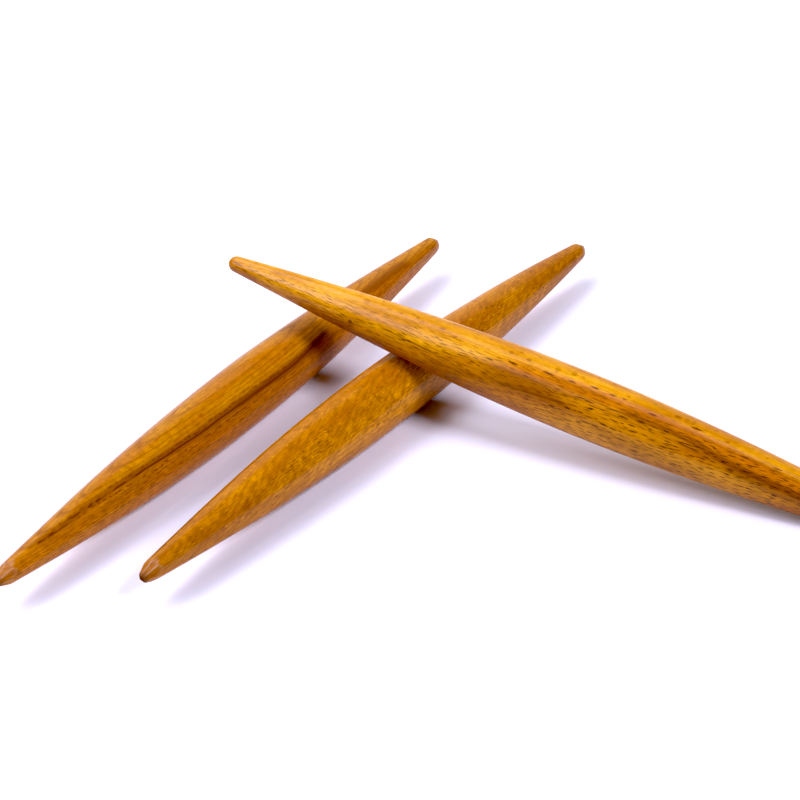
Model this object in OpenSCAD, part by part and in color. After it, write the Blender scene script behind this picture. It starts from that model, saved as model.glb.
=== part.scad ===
// Three loose wooden clay modelling sticks in a crossed pile.
// Each stick is one solid piece of turned hardwood: fat in the middle, slender at both
// ends, with points trimmed by hand. The left and right sticks lie on the table on their
// bellies. The top stick lies across the right one, with one end on the table.
// Lengths are in millimetres and angles in degrees.

/* [Stick] */
// Length of a stick, without the dome on the top stick's end
stick_length = 200; // [160:1:230]
// Thickness of the belly, at the middle of a stick
belly_dia = 16.4; // [13:0.1:20]
// Thickness of the slender neck behind each point
neck_dia = 4.3; // [3.5:0.1:6]

/* [Points] */
// Knife cuts around each trimmed point
cuts = 6; // [4:1:7]
// Slope of a long point's cuts against the stick's axis
long_slope = 18; // [14:1:24]
// Slope of a blunt point's cuts against the stick's axis
blunt_slope = 30; // [25:1:40]
// Width across the bare end grain of a long point
long_end = 1.8; // [1:0.1:2]
// Width across the bare end grain of a blunt point
blunt_end = 1.7; // [1:0.1:2.2]
// How far the dome stands past the raised end of the top stick
dome_depth = 2.4; // [1.5:0.1:4]

/* [Pile] */
// Direction of the left stick, anticlockwise from +X
left_turn = 58; // [50:0.5:70]
// Direction of the right stick, anticlockwise from +X
right_turn = 56; // [50:0.5:70]
// Direction of the top stick, anticlockwise from +X
top_turn = -28.05; // [-35:0.05:-20]
// How far the top stick's weight rocks the right stick's far end down
right_dip = 0.3; // [0:0.1:0.6]
// Middle of the left stick measured from the middle of the right one, along X
left_along_x = -36.8; // [-45:0.1:-30]
// Middle of the left stick measured from the middle of the right one, along Y
left_along_y = 0.4; // [-5:0.1:5]
// From the middle of the right stick to the crossing, along the right stick
right_reach = 11.6; // [0:0.1:30]
// From the middle of the top stick to the crossing, along the top stick
top_reach = 50.3; // [40:0.1:60]
// Running gap left between the sticks where they cross
touch_gap = 0.05; // [0.02:0.01:0.2]

/* [Hidden] */

// Rings of the turned outline along one stick, and facets of the finest circles
RINGS = 48;
DOME_STEPS = 10;
ROUND = 96;
// Size of the block that each knife cut takes away
KNIFE = 30;

half = stick_length / 2;

// The turned outline: a half wave of the cosine from the neck to the belly and back
swell = (belly_dia - neck_dia) / 2;
function bulge(x) = neck_dia / 2 + swell * cos(180 * x / stick_length);

// How sharply the belly curves lengthways, per millimetre
belly_curve = swell * pow(PI / stick_length, 2);

// A ground direction with its length
function along(turn, reach) = [reach * cos(turn), reach * sin(turn)];

// Height of the right stick's middle: it rests on its belly, rocked by right_dip
right_height = belly_dia / 2 + pow(tan(right_dip), 2) / (2 * belly_curve);

// Where a long point's cuts begin, measured back from its end. The wood swells away
// from the point by neck_swell for each millimetre.
neck_swell = swell * PI / stick_length;
long_back = (neck_dia - long_end) / 2 / (tan(long_slope) - neck_swell);

// Where the top stick touches the table, from its middle, and its half thickness there
lower_reach = half - long_back;
lower_half = bulge(lower_reach);

// The top stick slopes, so it touches the right stick a little below the crossing
function touch_reach(tilt) = top_reach - belly_dia * sin(tilt);
function axes_apart(tilt) =
    (bulge(right_reach) + bulge(touch_reach(tilt)) + touch_gap)
    * sqrt(1 + pow(tan(tilt) / sin(right_turn - top_turn), 2));
function crossing_height(tilt) =
    right_height - right_reach * sin(right_dip) + axes_apart(tilt);

// Tilt of the top stick, from a first guess of one and a quarter bellies over its run
first_tilt = asin(1.25 * belly_dia / (top_reach + lower_reach));
top_tilt = asin((crossing_height(first_tilt) - lower_half * cos(first_tilt))
    / (top_reach + lower_reach));
top_height = crossing_height(top_tilt) - top_reach * sin(top_tilt);

// Middles of the sticks, measured from the crossing
right_mid = -along(right_turn, right_reach);
left_mid = right_mid + [left_along_x, left_along_y];
top_mid = along(top_turn, top_reach * cos(top_tilt));

// The pile's origin is the middle of the ground that it covers
top_run = cos(top_tilt);
ends = [
    left_mid + along(left_turn, half), left_mid - along(left_turn, half),
    right_mid + along(right_turn, half), right_mid - along(right_turn, half),
    top_mid + along(top_turn, half * top_run),
    top_mid - along(top_turn, (half + dome_depth) * top_run)
];
xs = [for (end = ends) end.x];
ys = [for (end = ends) end.y];
origin = [min(xs) + max(xs), min(ys) + max(ys)] / 2;

// A stick's turned body, lying along X; dome is how far a dome stands past its -X end
module turned(dome) {
    outline = concat(
        [for (step = [0 : DOME_STEPS - 1]) let (a = 90 * step / DOME_STEPS)
            if (dome > 0) [neck_dia / 2 * sin(a), -half - dome * cos(a)]],
        [if (dome == 0) [0, -half]],
        [for (ring = [0 : RINGS]) let (x = -half + stick_length * ring / RINGS)
            [bulge(x), x]],
        [[0, half]]
    );
    rotate([0, 90, 0]) rotate_extrude($fn = ROUND) polygon(outline);
}

// The wood that the knife takes off around the +X point of a stick lying along X
module trimmings(slope, end_width, turn) {
    for (cut = [0 : cuts - 1])
        rotate([turn + 360 * cut / cuts, 0, 0])
            translate([half, 0, end_width / 2])
                rotate([0, slope, 0])
                    translate([-KNIFE / 2, -KNIFE / 2, 0])
                        cube([KNIFE, KNIFE, KNIFE / 2]);
}

// A stick with a long point at its near (-X) end and a blunt one at its far (+X) end
module table_stick(near_cut, far_cut) {
    difference() {
        turned(0);
        mirror([1, 0, 0]) trimmings(long_slope, long_end, near_cut);
        trimmings(blunt_slope, blunt_end, far_cut);
    }
}

module left_stick() {
    color([0.72, 0.45, 0.10])
        translate([left_mid.x - origin.x, left_mid.y - origin.y, belly_dia / 2])
            rotate([0, 0, left_turn]) table_stick(12, 32);
}

module right_stick() {
    color([0.70, 0.42, 0.08])
        translate([right_mid.x - origin.x, right_mid.y - origin.y, right_height])
            rotate([0, right_dip, right_turn]) table_stick(48, 68);
}

// The top stick has a domed raised end and a long point on the table
module top_stick() {
    color([0.88, 0.62, 0.22])
        translate([top_mid.x - origin.x, top_mid.y - origin.y, top_height])
            rotate([0, top_tilt, top_turn])
                difference() {
                    turned(dome_depth);
                    trimmings(long_slope, long_end, 180);
                }
}

left_stick();
right_stick();
top_stick();
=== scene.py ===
"""Three loose beech modelling sticks for clay, lying in a crossed pile on a pale table.

Each stick is one lofted mesh in its own axes: x runs along the stick, z points up from the
table side. The mesh keeps those axes in a vector attribute, so the wood's grain is cut
through the stick as it is through a real board, and stays with it in every pose.
Lengths are in metres and angles in degrees unless a name says otherwise.
"""

import math

import bpy
import numpy as np
from mathutils import Matrix, Vector


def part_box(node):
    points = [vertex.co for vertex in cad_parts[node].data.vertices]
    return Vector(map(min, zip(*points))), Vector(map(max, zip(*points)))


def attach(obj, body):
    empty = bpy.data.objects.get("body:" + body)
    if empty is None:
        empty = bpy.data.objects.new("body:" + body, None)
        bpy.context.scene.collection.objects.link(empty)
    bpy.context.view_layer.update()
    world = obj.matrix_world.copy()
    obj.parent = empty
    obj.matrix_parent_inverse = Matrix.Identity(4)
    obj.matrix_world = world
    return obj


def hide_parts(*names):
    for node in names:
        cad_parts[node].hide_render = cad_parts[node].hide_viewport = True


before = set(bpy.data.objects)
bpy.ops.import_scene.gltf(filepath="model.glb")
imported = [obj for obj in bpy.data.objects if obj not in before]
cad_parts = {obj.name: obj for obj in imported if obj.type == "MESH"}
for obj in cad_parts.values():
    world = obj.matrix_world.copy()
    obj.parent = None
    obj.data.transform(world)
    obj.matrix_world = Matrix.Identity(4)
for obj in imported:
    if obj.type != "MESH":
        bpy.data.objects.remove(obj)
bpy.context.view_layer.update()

MM = 0.001

# ---------------------------------------------------------------- sizes, as in the CAD model
BELLY = 16.4 * MM
NECK = 4.3 * MM
STICK_LENGTH = 200 * MM
HALF = STICK_LENGTH / 2
DOME_DEPTH = 2.4 * MM
LONG_SLOPE, LONG_END = 18, 1.8 * MM
BLUNT_SLOPE, BLUNT_END = 30, 1.7 * MM
LEFT_TURN, RIGHT_TURN, TOP_TURN = 58, 56, -28.05
RIGHT_DIP, TOP_DIP = 0.3, 8.1

# softness of a point's edges and rounding of its very end
LONG_SOFT, LONG_ROUND = 0.2 * MM, 0.9 * MM
BLUNT_SOFT, BLUNT_ROUND = 0.4 * MM, 0.8 * MM

# Sanding marks: waves around the stick, mm along it for one radian of their drift, and height
# in mm. The drift swings each wave by up to WAVE_SWING radians.
HAND_WAVES = ((2, 31, 0.030), (3, 17, 0.022), (5, 43, 0.016), (7, 11, 0.010))
WAVE_SWING = 2
SWELL_SCALE = 1.7

# ---------------------------------------------------------------- mesh density
SIDES = 128
BODY_RING = 0.7 * MM
TIP_REACH = 9 * MM
TIP_RING = 0.22 * MM
FAN_START, FAN_END = 2.9 * MM, 0.7 * MM
END_RINGS = 5
SEARCH_REACH = 1.3 * max(TIP_REACH, BELLY / 2)
BISECTIONS = 26

# ---------------------------------------------------------------- marks of the knife, for the wood
EDGE_WIDTH = 0.35 * MM
END_GRAIN = 0.95 * MM

# ---------------------------------------------------------------- camera
AIM = Vector((-18.4 * MM, 13.6 * MM, 0))
CAMERA_DISTANCE = 0.966
CAMERA_ELEVATION = 30.9
LENS = 166.5


# ================================================================ the shape of a stick
def bulge(x):
    """Radius of the turned outline at x: a half wave of the cosine between the necks."""
    return NECK / 2 + (BELLY - NECK) / 2 * np.cos(np.pi * np.clip(x / STICK_LENGTH, -0.5, 0.5))


def smooth_max(a, b, soft):
    """The larger of a and b, eased over where they are within soft of each other."""
    near = np.clip(1 - np.abs(a - b) / soft, 0, None)
    return np.maximum(a, b) + soft * near**2 / 4


class Stick:
    """A stick's solid: the turned body, less the knife cuts around its points."""

    def __init__(self, near, far, bow=0.0, fuller=0.0, seed=0):
        self.near, self.far = near, far
        self.bow, self.fuller = bow, fuller
        self.seed = seed

    def hand_work(self, x, side):
        """How far the sanded surface strays from the turned one at x and angle side."""
        stray = 0
        for count, pitch, height in HAND_WAVES:
            drift = self.seed * count + x / MM / pitch
            stray = stray + height * MM * np.sin(count * side + WAVE_SWING * np.sin(drift))
        return stray

    def turned(self, x, y, z):
        """How far outside the turned and sanded body a place is."""
        side = np.arctan2(z, y)
        u = np.clip(x / HALF, -1, 1)
        swell = self.fuller * np.clip(u, 0, 1) * (1 - u**4) * SWELL_SCALE
        return np.hypot(y, z) - bulge(x) - swell - self.hand_work(x, side)

    def cuts(self, x, y, z):
        """How far outside each knife cut a place is, and which end is cut square."""
        flats, ends = [], []
        for sign, point in ((-1, self.near), (1, self.far)):
            if point["kind"] == "dome":
                continue
            past = sign * x - HALF
            for turn, slope, width in point["cuts"]:
                a, s = math.radians(turn), math.radians(slope)
                out = y * math.cos(a) + z * math.sin(a)
                flats.append(((out - width) * math.cos(s) + past * math.sin(s), point["soft"]))
            ends.append((past, point["round"]))
        return flats, ends

    def outside(self, x, y, z):
        """Above zero outside the solid and below it inside, about in metres."""
        depth = self.turned(x, y, z)
        if self.near["kind"] == "dome":
            lift = np.clip((-x - HALF) / DOME_DEPTH, 0, None)
            depth = np.hypot(depth + bulge(x), lift * bulge(x)) - bulge(x)
        flats, ends = self.cuts(x, y, z)
        for cut, soft in flats + ends:
            depth = smooth_max(depth, cut, soft)
        return depth

    def marks(self, x, y, z):
        """For the material: depth of the cuts in mm, nearness to an edge, and to an end."""
        flats, ends = self.cuts(x, y, z)
        body = self.turned(x, y, z)
        nearest = np.sort(np.array([body] + [cut for cut, soft in flats + ends]), axis=0)
        edge = np.exp(-(nearest[-1] - nearest[-2]) / (EDGE_WIDTH / 2))
        end = np.exp(np.max([cut for cut, soft in ends], axis=0) / END_GRAIN)
        return np.stack([np.clip(-body, 0, None) / MM, edge, np.clip(end, 0, 1)], -1)

    def rays(self):
        """Start and direction along the axis plane of each ring, from end to end."""
        steps = int(round((STICK_LENGTH - 2 * TIP_REACH) / BODY_RING))
        rings = [(x, 0.0, 1.0) for x in np.linspace(TIP_REACH - HALF, HALF - TIP_REACH, steps)]
        reach = np.linspace(0, TIP_REACH, int(TIP_REACH / TIP_RING))[1:]
        radius = np.linspace(FAN_START, FAN_END, len(reach))
        fan = list(zip(reach, radius))
        fan += [(TIP_REACH, FAN_END * (1 - k / END_RINGS)) for k in range(1, END_RINGS)]
        far = [(HALF - TIP_REACH, ahead, out) for ahead, out in fan]
        near = [(TIP_REACH - HALF, -ahead, out) for ahead, out in reversed(fan)]
        return near + rings + far

    def points(self):
        """Ring points on the surface, as an array of rings by sides by x, y and z."""
        side = np.linspace(0, 2 * np.pi, SIDES, endpoint=False)
        start, ahead, out = np.array(self.rays()).T[:, :, None]
        size = np.hypot(ahead, out)
        ahead, out = ahead / size, out / size
        low = np.zeros((len(start), SIDES))
        high = np.full_like(low, SEARCH_REACH)
        for _ in range(BISECTIONS):
            t = (low + high) / 2
            solid = self.outside(start + t * ahead, t * out * np.cos(side),
                                 t * out * np.sin(side)) < 0
            low, high = np.where(solid, t, low), np.where(solid, high, t)
        t = (low + high) / 2
        return np.stack([start + t * ahead, t * out * np.cos(side), t * out * np.sin(side)], -1)


def whittled(slope, end, soft, rounding, *strokes):
    """A hand-cut point: each stroke's angle around the stick, how much it is steeper than
    the slope, and its half width at the end as a share of the usual one."""
    cuts = [(turn, slope + steeper, end / 2 * share) for turn, steeper, share in strokes]
    return {"kind": "cut", "cuts": cuts, "soft": soft, "round": rounding}


def build(name, stick, place):
    """One closed quad mesh of a stick in the row frame, with its own axes as "grain"."""
    rings = stick.points()
    count = len(rings)
    tips = np.array([[-HALF - DOME_DEPTH * (stick.near["kind"] == "dome"), 0, 0], [HALF, 0, 0]])
    own = np.concatenate([rings.reshape(-1, 3), tips])
    bent = own.copy()
    # a parabola sideways, about its own mean so that the stick stays in place
    bent[:, 1] += stick.bow * (1 - (own[:, 0] / HALF) ** 2 - 2 / 3)
    world = bent @ np.array(place.to_3x3()).T + np.array(place.translation)

    def at(ring, side):
        return ring * SIDES + side % SIDES

    faces = [(at(r, s), at(r, s + 1), at(r + 1, s + 1), at(r + 1, s))
             for r in range(count - 1) for s in range(SIDES)]
    first, last = count * SIDES, count * SIDES + 1
    faces += [(first, at(0, s + 1), at(0, s)) for s in range(SIDES)]
    faces += [(last, at(count - 1, s), at(count - 1, s + 1)) for s in range(SIDES)]
    mesh = bpy.data.meshes.new(name)
    mesh.from_pydata(world.tolist(), [], faces)
    mesh.shade_smooth()
    grain = mesh.attributes.new("grain", "FLOAT_VECTOR", "POINT")
    grain.data.foreach_set("vector", own.astype(np.float32).ravel())
    cut = mesh.attributes.new("cut", "FLOAT_VECTOR", "POINT")
    cut.data.foreach_set("vector", stick.marks(*own.T).astype(np.float32).ravel())
    mesh.validate()
    piece = bpy.data.objects.new(name, mesh)
    bpy.context.scene.collection.objects.link(piece)
    return piece


def placed(node, turn, dip, longer):
    """A stick's place: its CAD box's middle, turned and dipped, past any longer end."""
    low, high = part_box(node)
    spin = Matrix.Rotation(math.radians(turn), 4, "Z") @ Matrix.Rotation(
        math.radians(dip), 4, "Y")
    return Matrix.Translation((low + high) / 2) @ spin @ Matrix.Translation((longer / 2, 0, 0))


# ================================================================ beech
class Shader:
    """A material's nodes: each call adds one and returns its output, to plug in elsewhere."""

    def __init__(self, name):
        self.material = bpy.data.materials.new(name)
        self.material.use_nodes = True
        self.tree = self.material.node_tree
        self.surface = self.tree.nodes["Principled BSDF"]

    def plug(self, value, socket):
        """Links socket to value, or sets it where value is a plain number or colour."""
        if isinstance(value, bpy.types.NodeSocket):
            self.tree.links.new(value, socket)
        else:
            socket.default_value = value

    def node(self, kind, inputs, output=0, **settings):
        """Adds a node of this kind with these inputs and settings, and returns one output."""
        node = self.tree.nodes.new("ShaderNode" + kind)
        for key, value in settings.items():
            setattr(node, key, value)
        for key, value in inputs.items():
            self.plug(value, node.inputs[key])
        return node.outputs[output]

    def math(self, operation, a, b=0.0):
        return self.node("Math", {0: a, 1: b}, operation=operation)

    def fold(self, operation, first, *others):
        """The operation on two or more values, one after another."""
        for other in others:
            first = self.math(operation, first, other)
        return first

    def plus(self, *terms):
        return self.fold("ADD", *terms)

    def times(self, *factors):
        return self.fold("MULTIPLY", *factors)

    def most(self, *values):
        return self.fold("MAXIMUM", *values)

    def less(self, a, b):
        return self.math("SUBTRACT", a, b)

    def ease(self, value, start, end):
        """0 at start and 1 at end, with a smooth rise between them."""
        return self.node("MapRange", {"Value": value, "From Min": start, "From Max": end},
                         interpolation_type="SMOOTHSTEP")

    def level(self, value, low, high):
        """value, which runs from 0 to 1, as a number from low to high."""
        return self.node("MapRange", {"Value": value, "To Min": low, "To Max": high})

    def vector(self, x, y, z=0.0):
        return self.node("CombineXYZ", {0: x, 1: y, 2: z})

    def split(self, vector):
        node = self.tree.nodes.new("ShaderNodeSeparateXYZ")
        self.plug(vector, node.inputs[0])
        return tuple(node.outputs)

    def vector_math(self, operation, a, b, output=0):
        return self.node("VectorMath", {0: a, 1: b}, output, operation=operation)

    def length(self, *parts):
        """The length of a vector given by its parts."""
        return self.vector_math("LENGTH", self.vector(*parts), (0, 0, 0), "Value")

    def bump(self, height, distance, strength, normal=None):
        """Relief of height, of up to distance mm, over a normal or over the bare surface."""
        inputs = {"Height": height, "Distance": distance * MM, "Strength": strength}
        if normal is not None:
            inputs["Normal"] = normal
        return self.node("Bump", inputs, "Normal")

    def noise(self, place, detail=2.0, roughness=0.5):
        return self.node("TexNoise", {"Vector": place, "Scale": 1.0, "Detail": detail,
                                      "Roughness": roughness})

    def mix(self, factor, a, b, blend="MIX"):
        return self.node("Mix", {0: factor, 6: a, 7: b}, 2, data_type="RGBA", blend_type=blend)

    def curve(self, value, points):
        """A smooth curve through points, for a value from 0 to 1."""
        node = self.tree.nodes.new("ShaderNodeFloatCurve")
        own = node.mapping.curves[0].points
        while len(own) < len(points):
            own.new(0.5, 0.5)
        for point, place in zip(own, points):
            point.location = place
        node.mapping.update()
        self.plug(value, node.inputs["Value"])
        return node.outputs[0]


# half the length, in mm, over which values are drawn along a stick
SPAN = 105.0
# how far apart in the noise the sticks lie, so that no two look alike
SEED_STEP, RAY_SEED_STEP = 17.3, 7.7
# half the width in degrees of the fade at a face's borders
FACE_SOFT = 20
# where in a growth ring its late wood begins
LATE_WOOD = 0.55

# Noise through the wood: length and width of its lumps in mm, detail, roughness and shift.
BLOTCHES = (26, 5, 2, 0.5, 1)
LONG_FIBRES, SHORT_FIBRES = (9, 0.5, 3, 0.65, 5), (2.0, 0.42, 2, 0.6, 7)
CURL = (2.4, 3.0, 2, 0.5, 6)
RIPPLES = (1.5, 2.8, 1, 0.5, 15)
FLECK_PATCHES = (16, 3.5, 2, 0.5, 16)
RAGGED_EDGES = (0.9, 0.5, 2, 0.5, 9)
PORES = (1.1, 0.16, 1, 0.5, 11)
WEAR = (14, 6, 3, 0.6, 12)
SANDING = (7, 0.25, 3, 0.6, 13)
ORANGE_PEEL = (2.2, 1.1, 2, 0.5, 14)
# The same for how growth rings, rows of rays and drawn lines stray, each with its own shifts.
RING_STRAY, RAY_STRAY, LINE_STRAY = (45, 9, 2, 0.5), (16, 6, 2, 0.5), (11, 30, 3, 0.6)

# Ray ends: mm of stick and of skin to each one, its length and width in mm, and shift.
LONG_DASHES, SHORT_DASHES = (4.2, 0.85, 3.5, 0.25, 0.0), (3.4, 1.2, 2.4, 0.24, 2.5)
FLECKS = (2.4, 0.8, 2.2, 0.36, 5.0)
OVALS = (6.5, 2.8, 1.9, 1.1, 7.0)
# the last row is no ray: it makes painted glints, small pale highlights
PAINTED_GLINTS = (4.2, 2.4, 1.1, 0.3, 9.0)
RAY_SCATTER = 0.85

# the wavy figure: its lean in degrees and the length and width of its waves in mm, and its face
WAVES = (24, 5.0, 0.9)
WAVE_FACE = (140, 60)
# how the green and the blue of the wood follow its brightness: darker wood is redder
GREEN_FALL, BLUE_FALL = 1.22, 1.5


class Beech(Shader):
    """A stick's wood: its growth rings, rays, fibres and marks, some of them painted light and
    shade, and the varnish over them.

    x runs along the stick and side around it, in mm and degrees; depth and across are the
    distances in mm from the stick's axis towards the bark and square to that.
    """

    def __init__(self, name, figure):
        super().__init__(name)
        self.figure = figure
        grain = self.node("Attribute", {}, "Vector", attribute_name="grain")
        in_mm = self.node("VectorMath", {0: grain, "Scale": 1 / MM}, operation="SCALE")
        self.x, y, z = self.split(in_mm)
        self.radius = self.length(0.0, y, z)
        turned = self.math("ARCTAN2", self.times(z, -1.0), self.times(y, -1.0))
        self.side = self.plus(self.math("DEGREES", turned), 180.0)
        self.skin = self.times(turned, self.radius)
        bark = math.radians(figure["bark"])
        self.across = self.plus(self.times(y, -math.sin(bark)), self.times(z, math.cos(bark)))
        towards = self.plus(self.times(y, math.cos(bark)), self.times(z, math.sin(bark)))
        outwards = self.plus(towards, figure["pith"])
        self.depth = self.less(self.length(outwards, self.across), figure["pith"])
        cut = self.node("Attribute", {}, "Vector", attribute_name="cut")
        self.cut, self.crease, self.end = self.split(cut)
        self.worked = self.ease(self.cut, 0.0, 0.25)

    # ------------------------------------------------------------ where things are
    def face(self, middle, reach):
        """1 on the part of the stick within reach degrees of the side angle middle."""
        off = self.less(self.side, float(middle))
        round_once = self.math("FLOORED_MODULO", self.plus(off, 180.0), 360.0)
        turn = self.math("ABSOLUTE", self.less(round_once, 180.0))
        return self.ease(turn, reach + FACE_SOFT, reach - FACE_SOFT)

    def along(self, points):
        """Half of a value drawn along the stick as (x, value) points."""
        return self.curve(self.times(self.plus(self.x, SPAN), 0.5 / SPAN),
                          [((x + SPAN) / (2 * SPAN), value / 2) for x, value in points])

    def past(self, points, waver, shift):
        """How far around the stick a place is past the line through (x, side) points, in mm."""
        middle = self.times(self.along([(x, side / 180) for x, side in points]), 360.0)
        stray = self.stray(LINE_STRAY, shift, 2 * waver)
        off = self.times(self.less(self.side, middle), self.radius, math.radians(1))
        return self.plus(off, stray)

    def lens(self, ahead, aside):
        """0 in the middle of a pointed lens shape and 1 at its outline."""
        return self.plus(self.math("ABSOLUTE", aside), self.times(ahead, ahead))

    # ------------------------------------------------------------ patterns
    def cloud(self, along, around, detail, roughness, shift):
        """Noise through the solid wood, with lumps of these sizes in mm."""
        seed = self.figure["seed"] * SEED_STEP + shift
        place = self.vector(self.plus(self.times(self.x, 1 / along), seed),
                            self.times(self.across, 1 / around),
                            self.times(self.depth, 1 / around))
        return self.noise(place, detail, roughness)

    def stray(self, lumps, shift, reach):
        """A slow wander through the wood, of up to half of reach either way."""
        return self.times(self.less(self.cloud(*lumps, shift), 0.5), reach)

    def slanted(self, lean, along, around):
        """Noise on the skin, in lumps that lean this many degrees from the stick's axis."""
        cosine, sine = math.cos(math.radians(lean)), math.sin(math.radians(lean))
        ahead = self.plus(self.times(self.x, cosine), self.times(self.skin, -sine))
        aside = self.less(self.times(self.skin, cosine), self.times(self.x, -sine))
        return self.noise(self.vector(self.times(ahead, 1 / along), self.times(aside, 1 / around)))

    def rings(self, spacing, waver, shift):
        """Dark late wood at the end of each growth ring."""
        stray = self.stray(RING_STRAY, shift, waver)
        turn = self.math("FRACT", self.times(self.plus(self.depth, stray), 1 / spacing))
        return self.times(self.ease(turn, LATE_WOOD, 0.95), self.ease(turn, 1.0, 0.96))

    def rays(self, spacing, rows, long, wide, shift):
        """Ray ends: lens shapes about long by wide mm, one to each spacing by rows mm of skin."""
        stray = self.stray(RAY_STRAY, shift + 4, 2.5)
        seed = self.figure["seed"] * RAY_SEED_STEP + shift
        place = self.vector(self.plus(self.times(self.x, 1 / spacing), seed),
                            self.times(self.plus(self.skin, stray), 1 / rows))
        cells = self.tree.nodes.new("ShaderNodeTexVoronoi")
        cells.voronoi_dimensions = "2D"
        self.plug(place, cells.inputs["Vector"])
        self.plug(1.0, cells.inputs["Scale"])
        self.plug(RAY_SCATTER, cells.inputs["Randomness"])
        shorter, fainter, _ = self.split(cells.outputs["Color"])
        off = self.vector_math("SUBTRACT", place, cells.outputs["Position"])
        off = self.vector_math("MULTIPLY", off, (2 * spacing / long, 2 * rows / wide, 0))
        ahead, aside, _ = self.split(off)
        ahead = self.math("DIVIDE", ahead, self.level(shorter, 0.55, 1.0))
        shape = self.ease(self.lens(ahead, aside), 1.1, 0.8)
        return self.times(shape, self.level(fainter, 0.4, 1.0))

    def streak(self, points, width, soft, waver, shift, broken):
        """1 along a line through (x, side) points, width mm wide and soft mm at each edge.

        A broken line is made of bits about that many mm long.
        """
        off = self.math("ABSOLUTE", self.past(points, waver, shift))
        fade = 3.0 + 3.0 * width
        start, stop = points[0][0], points[-1][0]
        ends = self.times(self.ease(self.x, start - 1.0, start + fade),
                          self.ease(self.x, stop + 1.0, stop - fade))
        line = self.times(self.ease(off, width / 2 + soft, width / 2 - 0.05), ends)
        if broken:
            bits = self.ease(self.cloud(broken, 0.6, 1, 0.5, shift + 2), 0.46, 0.58)
            line = self.times(line, bits)
        return line

    def drawn(self, shade, lines):
        """shade with streaks drawn on it, each in its own tone and strength."""
        for tone, amount, points, width, soft, waver, broken in lines:
            line = self.streak(points, width, soft, waver, amount * 3, broken)
            shade = self.mix(self.times(line, amount), shade, tone)
        return shade

    def spots(self, places):
        """1 on small ovals, each given as x, side, length and width in mm, and strength."""
        ragged = self.level(self.cloud(*RAGGED_EDGES), 0.55, 1.45)
        skin = self.vector(self.x, self.skin)
        seen = 0.0
        for x, side, long, wide, strength in places:
            turn = math.radians(side - 180) * float(bulge(x * MM)) / MM
            off = self.vector_math("SUBTRACT", skin, (x, turn, 0))
            off = self.vector_math("MULTIPLY", off, (2 / long, 2 / wide, 0))
            ahead, aside, _ = self.split(off)
            shape = self.ease(self.times(self.lens(ahead, aside), ragged), 1.2, 0.7)
            seen = self.most(seen, self.times(shape, strength))
        return seen

    # ------------------------------------------------------------ colour, from the inside out
    def wood_with_painted_light_bands(self):
        """Sapwood and heartwood, with the figure's bands under their growth rings; some bands are
        painted light and painted shade.
        """
        figure = self.figure
        blotch = self.ease(self.cloud(*BLOTCHES), 0.34, 0.68)
        sap = self.mix(blotch, figure["light"], figure["mid"])
        heart = self.mix(blotch, figure["mid"], figure["deep"])
        soft = figure["border_soft"]
        inner = self.ease(self.past(figure["border"], 0.5, 1), -soft, soft)
        shade = self.drawn(self.mix(inner, sap, heart), figure["bands"])
        coarse = self.rings(figure["ring"], 2.4, 2)
        fine = self.rings(figure["fine_ring"], 0.9, 3)
        depth = self.times(coarse, self.level(inner, 0.3, 1.0), figure["ring_depth"])
        shade = self.mix(depth, shade, figure["dark"])
        return self.mix(self.times(fine, figure["fine_depth"]), shade, figure["dark"])

    def brightened(self, shade):
        """shade with its fibres and curl, and the stick's own tone; what is darker is redder."""
        fibre, curl = self.figure["fibre"], self.figure["curl"]
        light = self.times(self.level(self.cloud(*LONG_FIBRES), 1 - fibre, 1 + fibre),
                           self.level(self.cloud(*SHORT_FIBRES), 1 - fibre, 1 + fibre),
                           self.level(self.cloud(*CURL), 1 - curl, 1 + curl),
                           self.along(self.figure["tone"]), 2.0)
        green = self.math("POWER", light, GREEN_FALL)
        blue = self.math("POWER", light, BLUE_FALL)
        return self.mix(1.0, shade, self.vector(light, green, blue), "MULTIPLY")

    def waved(self, shade):
        """shade with a wavy figure that leans across the grain, and ripples square to it."""
        figure = self.figure
        if figure["wave"]:
            wave = self.ease(self.slanted(*WAVES), 0.36, 0.66)
            wave = self.times(wave, self.face(*WAVE_FACE), figure["wave"])
            shade = self.mix(wave, shade, figure["dark"])
        if figure["ripple"]:
            start, stop, middle, amount = figure["ripple"]
            bare = self.times(self.ease(self.x, start, start + 15),
                              self.ease(self.x, stop, stop - 15), self.face(middle, 25))
            ripple = self.ease(self.cloud(*RIPPLES), 0.48, 0.68)
            shade = self.mix(self.times(bare, ripple, amount), shade, figure["dark"])
        return shade

    def flecked_with_painted_glints(self, shade):
        """shade with its rays: dashes on the bark face, ovals off it, flecks on both, and painted
        glints, small pale highlights.
        """
        figure = self.figure
        bark_face = self.face(figure["ray_face"], figure["ray_reach"])
        dashes = self.most(self.rays(*LONG_DASHES), self.rays(*SHORT_DASHES))
        self.dash = self.times(dashes, bark_face, self.along(figure["dashed"]), 2.0)
        patch = self.ease(self.cloud(*FLECK_PATCHES), 0.44, 0.60)
        flecks = self.times(self.rays(*FLECKS), self.level(patch, 0.25, 1.0))
        flecks = self.times(flecks, self.level(bark_face, figure["fleck_off"], figure["fleck_on"]))
        ovals = self.times(self.rays(*OVALS), self.less(1.0, bark_face), figure["oval"])
        shade = self.mix(self.most(flecks, ovals), shade, figure["dark"])
        shade = self.mix(self.dash, shade, figure["ray"])
        # painted glints: small straw highlights over the fleck patches
        if figure["painted_glint"]:
            painted_glints = self.times(self.rays(*PAINTED_GLINTS), patch, figure["painted_glint"])
            shade = self.mix(painted_glints, shade, STRAW)
        return shade

    def spotted(self, shade):
        """shade with the fainter spots in the dark tone and the stronger ones in rust."""
        places = self.figure["spots"]
        faint = self.spots([place for place in places if place[-1] < CLEAR_SPOT])
        self.spot = self.spots([place for place in places if place[-1] >= CLEAR_SPOT])
        shade = self.mix(faint, shade, self.figure["dark"])
        return self.mix(self.spot, shade, RUST)

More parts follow.
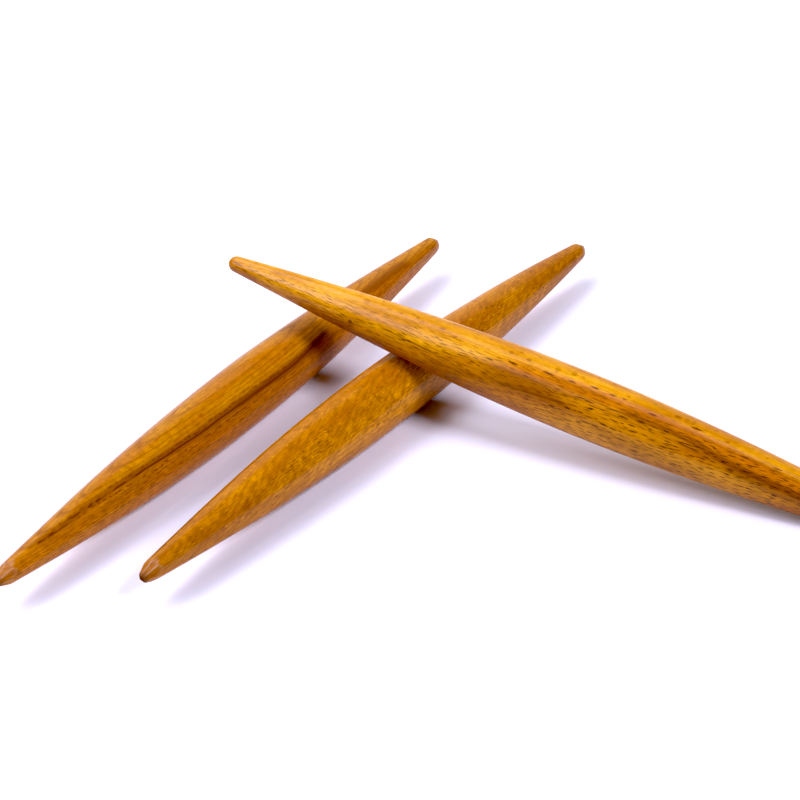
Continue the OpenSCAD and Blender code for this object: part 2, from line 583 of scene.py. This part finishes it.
    def trimmed_with_painted_highlights(self, shade):
        """shade with the knife cuts redder, the bare near ends dark, and painted highlights.

        The near points have painted highlights as pale ridges between their cuts, and the far ends
        are painted pale.
        """
        near, far = self.ease(self.x, 0.0, -20.0), self.ease(self.x, 0.0, 20.0)
        shade = self.mix(self.times(self.worked, 0.25), shade, self.figure["cut"])
        # painted highlight: pale ridges between the cuts of the near points
        ridge_highlight = self.times(self.crease, self.ease(self.cut, 0.02, 0.2), near)
        shade = self.mix(self.times(ridge_highlight, 0.42), shade, PAINTED_HIGHLIGHT)
        # painted highlight: the far ends painted pale
        shade = self.mix(self.times(self.end, far, 0.9), shade, PAINTED_HIGHLIGHT)
        return self.mix(self.times(self.end, near, 0.9), shade, self.figure["end"])

    def colour(self):
        """The varnished wood's colour, from its solid figure and the marks drawn on it, painted
        light and shade among them.
        """
        shade = self.brightened(self.wood_with_painted_light_bands())
        shade = self.flecked_with_painted_glints(self.waved(shade))
        shade = self.spotted(self.drawn(shade, self.figure["streaks"]))
        return self.trimmed_with_painted_highlights(shade)

    def finished(self):
        """The whole material: colour, gloss and relief, under one coat of clear varnish."""
        colour = self.colour()
        worn = self.cloud(*WEAR)
        gloss = self.plus(self.level(worn, 0.30, 0.46), self.times(self.dash, 0.15),
                          self.times(self.cut, 0.1))
        pores = self.ease(self.cloud(*PORES), 0.62, 0.72)
        relief = self.plus(self.times(self.cloud(*SANDING), 0.5),
                           self.times(pores, -0.35), self.times(self.dash, -0.5),
                           self.times(self.spot, -0.35))
        grain_relief = self.bump(relief, 0.03, 0.6)
        orange_peel = self.bump(self.cloud(*ORANGE_PEEL), 0.05, 0.35, grain_relief)
        varnish = self.times(self.level(self.worked, 0.6, 0.4), self.less(1.0, self.end))
        for socket, value in (
                ("Base Color", colour), ("Roughness", gloss), ("Normal", orange_peel),
                ("Specular IOR Level", 0.0), ("Coat Weight", varnish), ("Coat IOR", 1.38),
                ("Coat Roughness", self.level(worn, 0.14, 0.3)), ("Coat Normal", orange_peel)):
            self.plug(value, self.surface.inputs[socket])
        return self.material


# ================================================================ the three sticks
def long_point(*strokes):
    """A slender hand-cut point."""
    return whittled(LONG_SLOPE, LONG_END, LONG_SOFT, LONG_ROUND, *strokes)


def blunt_point(*strokes):
    """A short and steep hand-cut point."""
    return whittled(BLUNT_SLOPE, BLUNT_END, BLUNT_SOFT, BLUNT_ROUND, *strokes)


DOME = {"kind": "dome"}

# tones of the varnished wood from light to dark, then of painted highlights, of spots and of bands
STRAW, HONEY, AMBER = (0.78, 0.36, 0.012, 1), (0.57, 0.222, 0.006, 1), (0.43, 0.148, 0.004, 1)
CHESTNUT, TAWNY, UMBER = (0.34, 0.104, 0.003, 1), (0.22, 0.060, 0.002, 1), (0.08, 0.018, 0.001, 1)
PAINTED_HIGHLIGHT = (0.60, 0.38, 0.20, 1)
RUST, ORANGE = (0.125, 0.026, 0.0015, 1), (0.52, 0.15, 0.003, 1)

# spots at least this strong are seen as single dark marks
CLEAR_SPOT = 0.7

# What a stick's figure is made of, unless it says otherwise. Sides and faces are in degrees
# around the stick, and spacings and widths in mm. "border" is the line between sapwood and
# heartwood, and "tone" and "dashed" are strengths, each as points along the stick. "bands" lie
# under the grain and "streaks" over it: each has its tone, strength, points along and around
# the stick, width, softness and waver, and the length of its bits where it is broken.
COMMON = {
    "light": HONEY, "mid": AMBER, "deep": CHESTNUT, "dark": TAWNY,
    "ray": (0.045, 0.010, 0.0005, 1),
    "cut": (0.26, 0.06, 0.003, 1), "end": UMBER,
    "border": ((-100, 150), (0, 150), (100, 150)), "border_soft": 3,
    "pith": 60, "ring": 2.6, "ring_depth": 0.35, "fine_ring": 0.7, "fine_depth": 0.18,
    "fibre": 0.34, "curl": 0.16, "fleck_on": 0.35, "fleck_off": 0.25, "oval": 0.4,
    "painted_glint": 0, "wave": 0, "bands": (), "ripple": (),
    "dashed": ((-100, 1), (0, 1), (100, 1)), "tone": ((-100, 1), (0, 1), (100, 1)),
}
FIGURES = {
    "left_wood": COMMON | {
        "seed": 1, "bark": 80, "ray_face": 182, "ray_reach": 36,
        "dashed": ((-100, 0.5), (0, 0.5), (100, 0.5)),
        "light": (0.49, 0.195, 0.005, 1), "deep": (0.48, 0.156, 0.003, 1),
        "fine_depth": 0.5, "ring_depth": 0.2, "spots": ((-95, 160, 3, 1.6, 0.5),),
        "border": ((-100, 100), (-79, 117), (-47, 130), (0, 145), (36, 137), (60, 120), (100, 120)),
        "border_soft": 1.2, "ripple": (-92, -15, 105, 0.3),
        "streaks": (
            (TAWNY, 0.75, ((-88, 101), (-79, 115), (-66, 119), (-47, 128), (-30, 139), (0, 143),
                          (20, 144), (36, 135)), 0.5, 1.4, 0.5, 0),
            (RUST, 0.5, ((-80, 110), (-66, 114), (-47, 123), (-30, 134), (0, 138), (20, 139),
                          (36, 130)), 0.45, 0.2, 1.6, 1.2),
            (RUST, 0.7, ((-85, 116), (-66, 130), (-47, 142), (-30, 152), (0, 158)),
             0.25, 0.2, 1.2, 1.6),
            (RUST, 0.9, ((-88, 103), (-79, 117), (-66, 121), (-47, 130), (-36, 137)),
             0.5, 0.25, 0.7, 5.0),
            (RUST, 0.9, ((-52, 128), (-30, 141), (0, 145), (20, 146), (36, 137)),
             0.25, 0.2, 0.4, 0),
            (RUST, 0.35, ((-12, 143), (0, 145), (20, 146), (36, 137)), 1.2, 0.8, 0.4, 0),
            (TAWNY, 0.8, ((52, 121), (63, 120), (74, 120), (84, 128)), 1.2, 1.2, 0.6, 0),
        )},
    "right_wood": COMMON | {
        "seed": 2, "bark": 215, "ray_face": 160, "ray_reach": 50, "fine_depth": 0.3,
        "dashed": ((-100, 0.15), (0, 0.25), (100, 0.25)),
        "light": (0.52, 0.20, 0.004, 1), "mid": (0.40, 0.135, 0.003, 1),
        "deep": (0.35, 0.110, 0.003, 1), "dark": (0.16, 0.036, 0.002, 1),
        "tone": ((-100, 0.93), (-60, 1.05), (-10, 1.14), (20, 1.14), (60, 1.03), (100, 1.0)),
        "ripple": (-70, 12, 145, 0.22),
        "ring_depth": 0.15, "border": ((-100, 190), (0, 190), (100, 190)), "border_soft": 6,
        "fleck_on": 0.75, "fleck_off": 0.3, "fibre": 0.24, "curl": 0.26, "painted_glint": 0.8,
        "wave": 0.34, "spots": ((-19, 157, 3, 1.6, 0.1),),
        "bands": (
            # painted light: lightens the right stick's lower side against its form shading
            (HONEY, 0.7, ((-48, 168), (-10, 160), (40, 160)), 4.0, 2.6, 0.6, 0),
            # painted shade: darkens the right stick's upper side
            (CHESTNUT, 0.4, ((-50, 92), (-10, 98), (40, 100)), 3.0, 2.5, 0.5, 0),
        ),
        "streaks": (
            # painted shade: a dark line along the right stick's near half, at its outline as seen
            # from the camera
            (UMBER, 0.7, ((-95, 60), (-40, 58), (0, 58)), 0.2, 0.3, 0.2, 0),
        )},
    "top_wood": COMMON | {
        "seed": 3, "bark": 195, "ray_face": 185, "ray_reach": 68, "light": STRAW, "mid": HONEY,
        "deep": (0.43, 0.139, 0.004, 1), "fibre": 0.26, "end": AMBER, "border_soft": 1.5,
        "fleck_on": 0.15, "fleck_off": 0.15,
        "dashed": ((-100, 0.7), (-60, 0.7), (-25, 0.85), (0, 1.0), (100, 1.0)),
        "border": ((-100, 175), (-60, 166), (-42, 158), (-22, 132), (0, 114), (14, 108),
                   (32, 108), (60, 112), (100, 112)),
        "tone": ((-100, 0.96), (-20, 0.95), (0, 0.92), (30, 0.88), (65, 0.8), (100, 0.63)),
        "spots": (
            (-63.3, 174.9, 1.3, 1.2, 0.8), (-61.2, 99.5, 2.6, 1.3, 0.35),
            (-46.5, 100, 1.3, 1.0, 0.5), (-51, 104, 1.1, 0.9, 0.4), (-38.8, 105.5, 1.6, 1.0, 0.5),
            (-34.8, 114, 1.6, 0.9, 0.55), (-19.4, 102, 1.5, 1.1, 0.45),
            (-14.3, 103, 1.7, 1.2, 0.55), (-17.5, 122, 3.5, 0.60, 0.9),
            (-7.9, 115.4, 3.5, 0.60, 0.9), (-6.3, 99.7, 1.6, 2.4, 0.3), (-2.2, 93, 1.6, 2.6, 0.3),
            (-1.3, 113.3, 2.4, 0.60, 0.8), (4.6, 107.2, 2.4, 0.60, 0.9),
            (9.5, 107.6, 2.2, 0.52, 0.8), (12.7, 105.6, 1.6, 0.52, 0.7),
            (21.1, 112.7, 3.0, 0.60, 0.95),
            (26.9, 93, 2.2, 1.2, 0.6), (32.7, 102.4, 3.5, 0.75, 0.9), (31.1, 90.2, 1.2, 2.4, 0.35),
            (41.1, 102, 1.4, 0.9, 0.6), (46.8, 118.8, 3.0, 0.52, 0.8),
            (55.5, 112.7, 2.7, 0.52, 0.7),
        ),
        "bands": (
            (ORANGE, 0.6, ((-24, 130), (0, 119), (17, 119), (32, 119), (47, 126), (63, 139),
                           (94, 158)), 2.0, 1.2, 0.3, 0),
            (TAWNY, 0.75, ((11, 132), (26, 130), (33, 132), (40, 141), (50, 147), (63, 155),
                           (94, 172)), 0.8, 0.9, 0.4, 0),
            (TAWNY, 0.6, ((40, 152), (54, 161), (64, 168), (94, 182)), 1.4, 1.3, 0.4, 0),
            # painted light: lightens the top stick's lower side
            (STRAW, 0.35, ((-12, 192), (15, 196), (30, 198), (58, 202)), 5.0, 3.0, 0.6, 0),
            # painted shade: darkens the top stick's underside along its left half
            (CHESTNUT, 0.8, ((-84, 225), (-50, 217), (-30, 214), (-2, 220)), 3.0, 2.5, 0.6, 0),
        ),
        "streaks": (
            (UMBER, 0.5, ((12, 131), (33, 134), (47, 149), (63, 158), (90, 176)),
             0.12, 0.16, 0.6, 2.5),
            (UMBER, 0.5, ((-18, 162), (-10, 154), (-4, 145), (1, 138), (6, 133), (16, 134)),
             0.12, 0.2, 0.3, 0),
            (UMBER, 0.6, ((-22, 166), (-13, 163), (-7, 159), (2, 156)), 0.35, 0.4, 0.3, 0),
            (TAWNY, 0.6, ((-28, 156), (-19, 150), (-12, 150), (2, 152)), 2.6, 2.2, 0.5, 0),
            (UMBER, 0.7, ((-55, 155), (-47, 158), (-37, 163)), 0.12, 0.25, 0.2, 0),
        )},
}

# each stroke's angle around the stick, how much steeper it is, and its share of the width
LEFT_NEAR = long_point((52, 1, 0.8), (98, -1, 0.9), (148, -1, 1.0), (206, -2, 1.35),
                       (262, 0, 1.1), (325, 0, 0.9))
LEFT_FAR = blunt_point((40, 4, 0.8), (100, 0, 1.0), (160, -2, 1.1), (228, 0, 1.0), (310, 0, 1.0))
RIGHT_NEAR = long_point((60, 0, 0.8), (104, 1, 0.8), (158, -1, 1.0), (218, -3, 1.5),
                        (285, 0, 1.1), (350, 0, 0.9))
RIGHT_FAR = blunt_point((30, 2, 0.7), (95, 0, 1.0), (158, -2, 1.0), (222, 2, 0.8), (300, 0, 1.0))
TOP_FAR = long_point((54, 0, 0.9), (110, 1, 1.0), (168, 0, 1.0), (230, -1, 1.1),
                     (290, 0, 1.0), (350, 1, 0.9))

# node and body in the CAD frame, slot, stick, turn and dip, and how much its dome adds
STICKS = (
    ("left_stick", "left", "left_wood", Stick(LEFT_NEAR, LEFT_FAR, bow=-0.94 * MM, seed=1),
     LEFT_TURN, 0, 0),
    ("right_stick", "right", "right_wood",
     Stick(RIGHT_NEAR, RIGHT_FAR, bow=0.13 * MM, fuller=0.2 * MM, seed=2),
     RIGHT_TURN, RIGHT_DIP, 0),
    ("top_stick", "top", "top_wood", Stick(DOME, TOP_FAR, seed=3), TOP_TURN, TOP_DIP, DOME_DEPTH),
)

for node, body, slot, stick, turn, dip, longer in STICKS:
    piece = build(node.replace("stick", "spindle"), stick, placed(node, turn, dip, longer))
    piece.data.materials.append(Beech(slot, FIGURES[slot]).finished())
    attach(piece, body)
    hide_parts(node)


# ================================================================ the table, light and camera
TABLE_REACH = 4
TABLE_COLOUR = (0.9, 0.9, 0.9, 1)
AIR_COLOUR, AIR_STRENGTH = (0.8, 0.8, 1, 1), 0.015
LIGHT_DISTANCE = 2.6
COOL, WARM = (0.75, 0.755, 1.0), (1.0, 0.93, 0.9)
BLACK_LEVEL = 0.017

# name, azimuth and elevation, watts per square metre, colour, width and height
SOFTBOXES = (
    ("left_bank", 184, 46, 2.7, COOL, 2.2, 2.0),
    ("left_key", 198, 44, 0.9, COOL, 0.9, 0.9),
    ("back", 122, 56, 1.5, COOL, 1.2, 1.2),
    ("front_right", 322, 46, 3.2, COOL, 0.8, 0.8),
    ("overhead", 77, 77, 0.36, COOL, 0.7, 0.7),
    ("backdrop", 94, 22, 1.3, WARM, 5.0, 1.8),
)


def table_top():
    """A wide pale square at the height on which the sticks lie."""
    mesh = bpy.data.meshes.new("table_top")
    corners = [(x, y, 0) for x, y in ((-1, -1), (1, -1), (1, 1), (-1, 1))]
    mesh.from_pydata([Vector(corner) * TABLE_REACH for corner in corners], [], [(0, 1, 2, 3)])
    paint = Shader("table")
    paint.plug(TABLE_COLOUR, paint.surface.inputs["Base Color"])
    mesh.materials.append(paint.material)
    top = bpy.data.objects.new("table_top", mesh)
    bpy.context.scene.collection.objects.link(top)
    return top


def dim_air():
    """The faint cool light that comes from everywhere."""
    world = bpy.data.worlds.new("studio")
    world.use_nodes = True
    background = world.node_tree.nodes["Background"]
    background.inputs["Color"].default_value = AIR_COLOUR
    background.inputs["Strength"].default_value = AIR_STRENGTH
    bpy.context.scene.world = world


def softbox(name, azimuth, elevation, light, colour, width, height):
    """A soft panel that lights the sticks with this many watts per square metre."""
    turn, lift = math.radians(azimuth), math.radians(elevation)
    towards = Vector((math.cos(turn) * math.cos(lift), math.sin(turn) * math.cos(lift),
                      math.sin(lift)))
    panel = bpy.data.lights.new(name, "AREA")
    panel.shape = "RECTANGLE"
    panel.size, panel.size_y = width, height
    panel.energy = light * math.pi * LIGHT_DISTANCE**2
    panel.color = colour
    lamp = bpy.data.objects.new(name, panel)
    lamp.location = towards * LIGHT_DISTANCE
    lamp.rotation_euler = towards.to_track_quat("Z", "Y").to_euler()
    bpy.context.scene.collection.objects.link(lamp)


def camera():
    """The camera, in front of the sticks and looking down at AIM."""
    lift = math.radians(CAMERA_ELEVATION)
    optics = bpy.data.cameras.new("camera")
    optics.lens = LENS
    eye = bpy.data.objects.new("camera", optics)
    eye.location = AIM + CAMERA_DISTANCE * Vector((0, -math.cos(lift), math.sin(lift)))
    eye.rotation_euler = (math.radians(90) - lift, 0, 0)
    bpy.context.scene.collection.objects.link(eye)
    return eye


def set_view():
    """The plain view of the colours, with the darkest ones made a little darker."""
    view = bpy.context.scene.view_settings
    view.view_transform = "Standard"
    view.use_curve_mapping = True
    view.curve_mapping.black_level = (BLACK_LEVEL, BLACK_LEVEL, BLACK_LEVEL)
    view.curve_mapping.update()


floor = table_top()
dim_air()
for settings in SOFTBOXES:
    softbox(*settings)
bpy.context.scene.camera = camera()
set_view()
